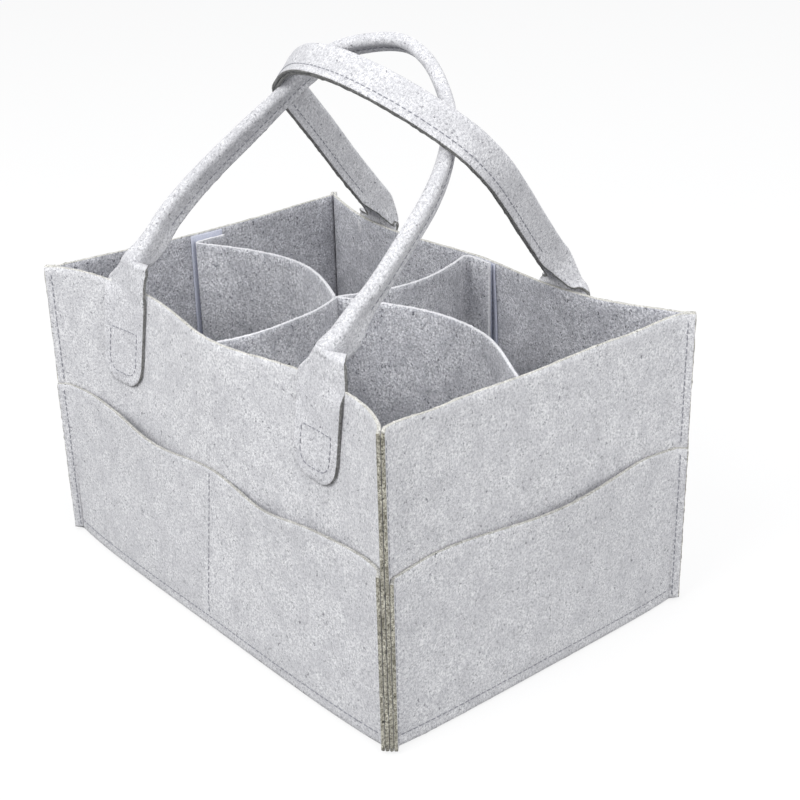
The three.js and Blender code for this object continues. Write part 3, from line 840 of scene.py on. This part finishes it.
def strap_grid(strap, side):
    """The strap's middle surface, as rows of points across the strip from one tab's foot to the other's,
    with the places across the strip and how far past a crease each row lies."""
    line, tangent, past, share, plane_out = strap_line(strap, side)
    u = np.linspace(-1, 1, STRIP_COLUMNS)
    u = np.sign(u) * np.abs(u) ** CROWDING * HALF_STRIP
    rows = []
    for station in zip(line, tangent, past, share):
        rows.append(strap_row(strap, side, u, *station, plane_out))
    left_tab = tab_rows(strap, side, u, 0, rows[0])
    right_tab = tab_rows(strap, side, u, 1, rows[-1])
    on_tab = np.full(TAB_ROWS, -np.inf)
    return np.concatenate([left_tab, rows, right_tab[::-1]]), u, np.concatenate([on_tab, past, on_tab])


# What a strap's values say, the left end's first. Stretches are distances past the crease.
# tabs, bottoms, creases, crease_height, crease_out: where its tabs, their feet and its creases lie
# free: how far below the crease it is last seated on the wall
# lean: how far its arch leans at each end, in degrees
# halves: the width of half the folded strip, at distances past the crease
# zone: how wide the fold's bend is
# spine: how far the folded strip stands out from its route
# set_back, turn: how far behind the route the axis of its twist lies, and the twist in degrees
# bend: the length over which its direction is averaged
# fold_over: the stretch in which it takes its folded width
# ears, crease: for the half on the right as the wall is faced, its fold's slant and width, and its stretch
# fold_lines: for the half on the left, how far from the middle it folds, at distances past the crease
# leaving: the stretch in which it parts from the wall
# route: x, and the reach from the line through the creases
FRONT_STRAP = {
    "name": "front",
    "wall": FRONT,
    "tabs": (-101.5, 92),
    "bottoms": (123, 129),
    "creases": (-99, 90),
    "crease_height": 200,
    "crease_out": 92,
    "free": 14,
    "lean": (41, 46.5),
    "halves": [(30, 18), (90, 16.5), (150, 13.5)],
    "zone": 6.2,
    "spine": 0,
    "set_back": 7.7,
    "turn": 20,
    "bend": 0.1,
    "fold_over": (0, 30),
    "ears": ((3, 15.5), (0, 20)),
    "fold_lines": (
        ((-17, 20), (-8, 10), (0, 5.5), (18, 2), (26, 0)),
        ((-17, 20), (-8, 9), (0, 2.2), (18, 1.5), (26, 0)),
    ),
    "crease": (-1.6, 1.2),
    "leaving": (-24, -16),
    "route": (
        (-97, 14), (-97, 34), (-91, 56), (-81, 80), (-69.3, 104.5), (-57.6, 127.6), (-48.8, 146),
        (-38, 163.5), (-18, 174.5), (8, 180), (32, 173), (53, 159.5), (72, 142), (84, 121), (90, 99),
        (92, 72), (92.5, 44), (91.5, 28), (92.5, 13),
    ),
}
BACK_STRAP = {
    "name": "back",
    "wall": BACK,
    "tabs": (-98, 78),
    "bottoms": (126, 126),
    "creases": (-98, 78),
    "crease_height": 187,
    "crease_out": 102.5,
    "free": 8,
    "lean": (39.5, 42.5),
    "halves": [(0, 20), (40, 20.5)],
    "zone": 4.6,
    "spine": 8.7,
    "set_back": 0,
    "turn": 0,
    "bend": 9,
    "fold_over": (0, 24),
    "ears": ((0, 20), (0, 20)),
    "fold_lines": (
        ((-7, 20), (0, 16), (6, 13), (12, 9), (18, 5), (25, 2), (34, 0)),
        ((-8, 20), (-4, 17), (0, 13), (7, 9), (14, 5), (20, 2), (28, 0.7), (34, 0)),
    ),
    "crease": (-5, 20),
    "leaving": (-24, -16),
    "route": (
        (-86, 20), (-82, 62), (-77, 100), (-75.3, 124), (-72.5, 142.3), (-52, 160), (-18, 178),
        (18, 182), (50, 175), (77, 161), (94.5, 140), (99, 118), (96, 94), (89, 60), (83, 28),
    ),
}


def tab_stitches(strap, side, which):
    """A line of stitches that holds a tab to its wall, across it, down both sides and around its foot."""
    half = HALF_STRIP - TAB_STITCH_INSET
    radius = TAB_ROUNDING - TAB_STITCH_INSET
    bottom = strap["bottoms"][which] + TAB_STITCH_INSET
    path = [(-half, TAB_STITCH_TOP), (half, TAB_STITCH_TOP)]
    for sign, start in ((1, 0), (-1, -90)):
        for k in range(9):
            angle = math.radians(start - 90 * k / 8)
            x = sign * (half - radius) + radius * math.cos(angle)
            path.append((x, bottom + radius + radius * math.sin(angle)))
    path.append((-half, TAB_STITCH_TOP))
    path = np.array(path)
    travelled = travel(path)
    at = np.arange(0, travelled[-1], 1.0)
    x = strap["tabs"][which] + np.interp(at, travelled, path[:, 0])
    z = np.interp(at, travelled, path[:, 1])
    outer = on_long_wall(strap["wall"], side, x, z, SEAT + FELT / 2)
    inner = on_long_wall(strap["wall"], side, x, z, 0)
    return outer, unit(outer - inner)


def dress_strap(strap, side):
    name = strap["name"]
    handle = f"{name}_handle"
    grid, u, past = strap_grid(strap, side)
    # The strap's cut rim takes the dark edge felt, as painted shade along its edges.
    piece = felt_sheet(f"{name}_strap_felt", grid, FELT, STRAP, STRAP, SHADED_STRAP_EDGE, 31 + side)
    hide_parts(f"{handle}_tab_left", f"{handle}_tab_right", f"{handle}_grip")
    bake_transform(piece)
    fold_end = strap["fold_lines"][0][-1][0]
    folded = np.where(past > fold_end + SEAM_PAST_FOLD)[0]
    normal = grid_normals(grid)
    centre = grid.mean(axis=1, keepdims=True)
    seam_share = 1 - SEAM_INSET / strap["halves"][-1][1]
    for label, sign in (("outer", -1), ("inner", 1)):
        column = int(np.abs(u - sign * HALF_STRIP * seam_share).argmin())
        away = grid[folded, column] - centre[folded, 0]
        facing = np.sign((away * normal[folded, column]).sum(axis=1))[:, None] * normal[folded, column]
        seam = stitch_row(f"{name}_strap_seam_{label}", grid[folded, column] + facing * FELT / 2, facing)
        dress(seam, handle, "strap_felt")
    for which, label in enumerate(("left", "right")):
        row = stitch_row(f"{name}_tab_stitches_{label}", *tab_stitches(strap, side, which))
        dress(row, "bag", "strap_felt")


dress_strap(FRONT_STRAP, -1)
dress_strap(BACK_STRAP, 1)


# Divider
LOOP_MIDDLE = -(FELT / 2 + TAPE_GAP + TAPE_THICKNESS / 2)
HOOK_MIDDLE = LOOP_MIDDLE - TAPE_THICKNESS - TAPE_GAP
FLAP_MIDDLE = HOOK_MIDDLE - TAPE_THICKNESS / 2 - TAPE_GAP - FELT / 2
DIVIDER_ROWS = np.concatenate([[0, 0.02, 0.05], np.linspace(0.1, 0.95, 16), [0.98, 1.0]])
PLAN_STEP = 1.2
SWAY = 0.5
SWAY_LENGTH = 70
# Stretches from a strip's start and from its end over which it comes free to sway, and where its top sags
START_FREE = (4, 30)
END_FREE = (26, 60)
SAG_STRETCH = (75, 20)


def plan_at(wall, x, out):
    """A point in the bag's plan beside a wall, at the height of the divider's top."""
    return wall.in_bag(wall.at(np.asarray(float(x)), np.asarray(DIVIDER_TOP), out))[:2]


def flap_plan(wall, fold_x, direction):
    """From the divider's fold to the flap's free edge."""
    plan = []
    for k in range(7):
        angle = math.radians(90 * k / 6)
        x = fold_x + direction * FOLD_RADIUS * (1 - math.cos(angle))
        plan.append(plan_at(wall, x, FLAP_MIDDLE - FOLD_RADIUS * (1 - math.sin(angle))))
    for share in np.linspace(0, 1, 12)[1:]:
        x = fold_x + direction * lerp(FOLD_RADIUS, FLAP_WIDTH, share)
        plan.append(plan_at(wall, x, FLAP_MIDDLE))
    return plan


def buckled(start, end, bulge, aside):
    """A plan from start to end that bulges aside in the middle."""
    plan = []
    for share in np.linspace(0, 1, 40):
        plan.append(lerp(start, end, share) + np.array(aside) * bulge * math.sin(share * HALF_TURN))
    return plan


def smooth_plan(plan):
    line = evenly(np.array([np.append(p, 0) for p in plan]), PLAN_STEP)[0]
    for _ in range(2):
        line[1:-1] = (line[:-2] + 2 * line[1:-1] + line[2:]) / 4
    return line[:, :2]


def standing_felt(name, plan, body, seed, node, sag):
    """A strip of felt on edge along a plan. sag is how much lower its top lies at the plan's far end."""
    z = lerp(DIVIDER_BOTTOM, DIVIDER_TOP, DIVIDER_ROWS)
    along = travel(plan)
    length = along[-1]
    tangent = unit(np.gradient(plan, axis=0))
    across = np.stack([-tangent[:, 1], tangent[:, 0]], 1)
    free = smoothstep(along, *START_FREE) * smoothstep(length - along, *END_FREE)
    sway = SWAY * wobble(along[:, None], z[None, :], seed, SWAY_LENGTH) * free[:, None]
    flat = plan[:, None, :] + across[:, None, :] * sway[..., None]
    lowered = sag * smoothstep(along, length - SAG_STRETCH[0], length - SAG_STRETCH[1])
    height = z[None, :] - DIVIDER_ROWS[None, :] * lowered[:, None]
    middle = np.concatenate([flat, height[..., None]], axis=2)
    # The divider's faces take the darker felt, as painted shade. Its cut edges keep the felt's light tone.
    piece = felt_sheet(name, middle, FELT, SHADED_DIVIDER, SHADED_DIVIDER, CUT_EDGE, seed)
    dress(piece, body, "divider_felt", node)
    return middle


def dress_cross_strip():
    back_flap = flap_plan(BACK, -CROSS_FOLD, -1)
    front_flap = flap_plan(FRONT, CROSS_FOLD, 1)
    plan = [
        *back_flap[::-1],
        *buckled(back_flap[0], CROSS_POINT, CROSS_BULGE, (1, 0)),
        *buckled(CROSS_POINT, front_flap[0], CROSS_BULGE, (1, 0)),
        *front_flap,
    ]
    standing_felt("cross_strip_felt", smooth_plan(plan), "insert", 61, "insert_cross_strip", FLAP_SAG)


def dress_wing(name, wall, sign, fold_x, bulge, sag):
    """A wing from the cross strip to an end wall, and its seam. sign is the wing's way along the bag."""
    flap = flap_plan(wall, fold_x, sign)
    start = CROSS_POINT + np.array([sign * (FELT + 0.15), 0])
    plan = smooth_plan([*buckled(start, flap[0], bulge, (0, 1)), *flap])
    middle = standing_felt(f"{name}_felt", plan, name, 67 + sign, f"insert_{name}", sag)
    column = 2
    normal = grid_normals(middle)[column, 1:-1]
    seam = stitch_row(f"{name}_seam", middle[column, 1:-1] + normal * FELT / 2, normal)
    dress(seam, name, "divider_felt")


dress_cross_strip()
dress_wing("left_wing", LEFT, -1, LEFT_FOLD, bulge=23, sag=0)
dress_wing("right_wing", RIGHT, 1, RIGHT_FOLD, bulge=24, sag=FLAP_SAG)


# Tapes
TAPE_ROWS = 40
TAPE_MARGIN = 1


def tape(wall, kind, middle, material, body, side, seed):
    """A tape with a row of stitches near each long edge. side says which side of its grid they lie on."""
    name = f"{wall.name}_{kind}_woven"
    piece = felt_sheet(name, middle, TAPE_THICKNESS, material, material, material, seed, rough=0.03)
    dress(piece, body, kind, f"{wall.name}_{kind}")
    normal = grid_normals(middle)
    for label, column in (("a", 2), ("b", middle.shape[0] - 3)):
        facing = normal[column, 1:-1] * side
        points = middle[column, 1:-1] + facing * TAPE_THICKNESS / 2
        stitches = f"{name}_stitches_{label}"
        row = stitch_row(stitches, points, facing, length=2.6, gap=0.9, radius=0.2, sink=0.15)
        dress(row, body, kind)


def loop_tape(wall, fold_x, way):
    """The loop tape sewn inside a wall."""
    x = fold_x + way * FLAP_WIDTH / 2 + np.linspace(-0.5, 0.5, 17) * TAPE_WIDTH
    shares = np.linspace(0, 1, TAPE_ROWS)
    z = lerp(DIVIDER_BOTTOM, (wall.top_at(x) - TAPE_MARGIN)[:, None], shares[None, :])
    across = np.repeat(x[:, None], len(shares), 1)
    grid = wall.in_bag(wall.at(across, z, LOOP_MIDDLE))
    tape(wall, "loop_tape", grid, LOOP_TAPE, "bag", side=-1, seed=83)


def hook_tape(wall, fold_x, way, body, sag):
    """The hook tape on a flap of the divider."""
    width = FLAP_WIDTH - FOLD_RADIUS - TAPE_MARGIN
    x = fold_x + way * (FOLD_RADIUS + width / 2) + np.linspace(-0.5, 0.5, 15) * width
    z = np.linspace(DIVIDER_BOTTOM + TAPE_MARGIN, DIVIDER_TOP - TAPE_MARGIN - sag, TAPE_ROWS)
    plan = wall.in_bag(wall.at(x, 0 * x + DIVIDER_TOP, HOOK_MIDDLE))[:, None, :2]
    plan = np.broadcast_to(plan, (len(x), len(z), 2))
    grid = np.concatenate([plan, np.broadcast_to(z, plan.shape[:2])[..., None]], axis=2)
    tape(wall, "hook_tape", grid, HOOK_TAPE, body, side=1, seed=89)


TAPES = (
    (FRONT, CROSS_FOLD, 1, "insert", FLAP_SAG),
    (BACK, -CROSS_FOLD, -1, "insert", 0),
    (RIGHT, RIGHT_FOLD, 1, "right_wing", FLAP_SAG),
    (LEFT, LEFT_FOLD, -1, "left_wing", 0),
)
for wall, fold_x, way, body, sag in TAPES:
    loop_tape(wall, fold_x, way)
    hook_tape(wall, fold_x, way, body, sag)


# Stitches on the walls
CORNER_STITCH_INSET = 3.5
SEAM_POINTS = 60
ON_POCKET = SEAT + FELT / 2


def wall_stitches(wall, label, s, z, out, slot="pocket_felt"):
    points = wall.in_bag(wall.sheet_line(s, z, out))
    inner = wall.in_bag(wall.sheet_line(s, z, out - 1))
    dress(stitch_row(f"{wall.name}_{label}", points, unit(points - inner)), "bag", slot)


def upright_stitches(wall, label, x, low, high, out, slot="pocket_felt"):
    z = np.linspace(low, high, SEAM_POINTS)
    wall_stitches(wall, label, np.full_like(z, x), z, np.full_like(z, out), slot)


for wall in WALLS:
    s = np.linspace(-wall.root_x + 1, wall.root_x - 1, 160)
    z = np.full_like(s, BASE_RISE)
    face = wall.pocket_out(s, z, wall.pocket_top_at(s)) + FELT / 2
    wall_stitches(wall, "foot_stitches", s, z, face)
    for label, sign in (("a", -1), ("b", 1)):
        edge = sign * (wall.root_x + CORNER_STITCH_INSET)
        mouth = float(wall.pocket_top_at(edge))
        rim = float(wall.top_at(edge))
        upright_stitches(wall, f"corner_stitches_{label}", edge, 3, mouth - 2, ON_POCKET)
        upright_stitches(wall, f"rim_stitches_{label}", edge, mouth + 2, rim - 2, FELT / 2, "body_felt")
    if wall.pockets == 2:
        mouth = float(wall.pocket_top_at(0.0))
        upright_stitches(wall, "pocket_middle_stitches", 0.0, BASE_RISE + 2, mouth - 1, ON_POCKET)


# Camera, fitted to the bag's corners
azimuth, elevation, roll = (math.radians(a) for a in (50.292, 24.455, -1.365))
flat = math.cos(elevation)
back = Vector((math.sin(azimuth) * flat, -math.cos(azimuth) * flat, math.sin(elevation)))
level = Vector((math.cos(azimuth), math.sin(azimuth), 0))
upright = back.cross(level)
right = math.cos(roll) * level + math.sin(roll) * upright
up = -math.sin(roll) * level + math.cos(roll) * upright
camera = bpy.data.objects.new("camera", bpy.data.cameras.new("camera"))
camera.data.sensor_width = 36
camera.data.lens = 67.14
camera.data.clip_start = 0.01
camera.matrix_world = Matrix((right, up, back)).transposed().to_4x4()
camera.location = (0.65942, -0.51295, 0.49205)
bpy.context.scene.collection.objects.link(camera)
bpy.context.scene.camera = camera


# Floor and light
def end_tree(tree, output, factor, seen, unseen):
    """Ends a node tree with one shader that the camera sees and another that the light meets."""
    choose = tree.nodes.new("ShaderNodeMixShader")
    shown = tree.nodes.new(output)
    tree.links.new(factor, choose.inputs["Fac"])
    tree.links.new(unseen, choose.inputs[1])
    tree.links.new(seen, choose.inputs[2])
    tree.links.new(choose.outputs["Shader"], shown.inputs["Surface"])


def studio():
    world = bpy.data.worlds.new("studio")
    bpy.context.scene.world = world
    tree = empty_tree(world)
    from_camera = tree.nodes.new("ShaderNodeLightPath").outputs["Is Camera Ray"]
    soft = tree.nodes.new("ShaderNodeBackground")
    set_inputs(soft, {"Color": (0.97, 0.98, 1.0, 1), "Strength": 0.66})
    white = tree.nodes.new("ShaderNodeBackground")
    white.inputs["Strength"].default_value = 1.0
    shaders = white.outputs["Background"], soft.outputs["Background"]
    end_tree(tree, "ShaderNodeOutputWorld", from_camera, *shaders)


def paper_material():
    """Paper that is white to the camera, keeps the object's shadow and throws little light back."""
    material = bpy.data.materials.new("floor_white")
    tree = empty_tree(material)
    from_camera = tree.nodes.new("ShaderNodeLightPath").outputs["Is Camera Ray"]
    lit = tree.nodes.new("ShaderNodeBsdfDiffuse")
    colour = mixed(tree, from_camera, (0.28, 0.28, 0.285), (0.95, 0.95, 0.95))
    tree.links.new(colour, lit.inputs["Color"])
    glow = tree.nodes.new("ShaderNodeEmission")
    glow.inputs["Strength"].default_value = 1.0
    part = tree.nodes.new("ShaderNodeMath")
    part.operation = "MULTIPLY"
    part.inputs[1].default_value = 0.8
    tree.links.new(from_camera, part.inputs[0])
    shaders = glow.outputs["Emission"], lit.outputs["BSDF"]
    end_tree(tree, "ShaderNodeOutputMaterial", part.outputs["Value"], *shaders)
    return material


def lamp(name, place, target, size, power):
    light = bpy.data.lights.new(name, "AREA")
    light.size = size
    light.energy = power
    made = bpy.data.objects.new(name, light)
    made.location = place
    made.rotation_euler = (Vector(target) - Vector(place)).to_track_quat("-Z", "Y").to_euler()
    bpy.context.scene.collection.objects.link(made)


studio()
FLOOR_HALF = 4000
FLOOR_DROP = 0.5
signs = ((-1, -1), (1, -1), (1, 1), (-1, 1))
floor_corners = [(x * FLOOR_HALF, y * FLOOR_HALF, -FLOOR_DROP) for x, y in signs]
floor = new_object("floor", floor_corners, [(0, 1, 2, 3)], [paper_material()], [0])
floor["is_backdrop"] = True
lamp("key", (0.0, -1.7, 1.6), (0, 0, 0.12), size=1.3, power=27)
lamp("side", (1.8, -0.1, 1.2), (0, 0, 0.1), size=1.2, power=16)
lamp("top", (-0.2, 0.2, 2.2), (0, 0, 0.1), size=1.6, power=10)
bpy.context.scene.view_settings.view_transform = "Standard"

plain = lambda box: [list(corner) for corner in box]
{"cad": plain(cad_bounds), "visual": plain(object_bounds())}
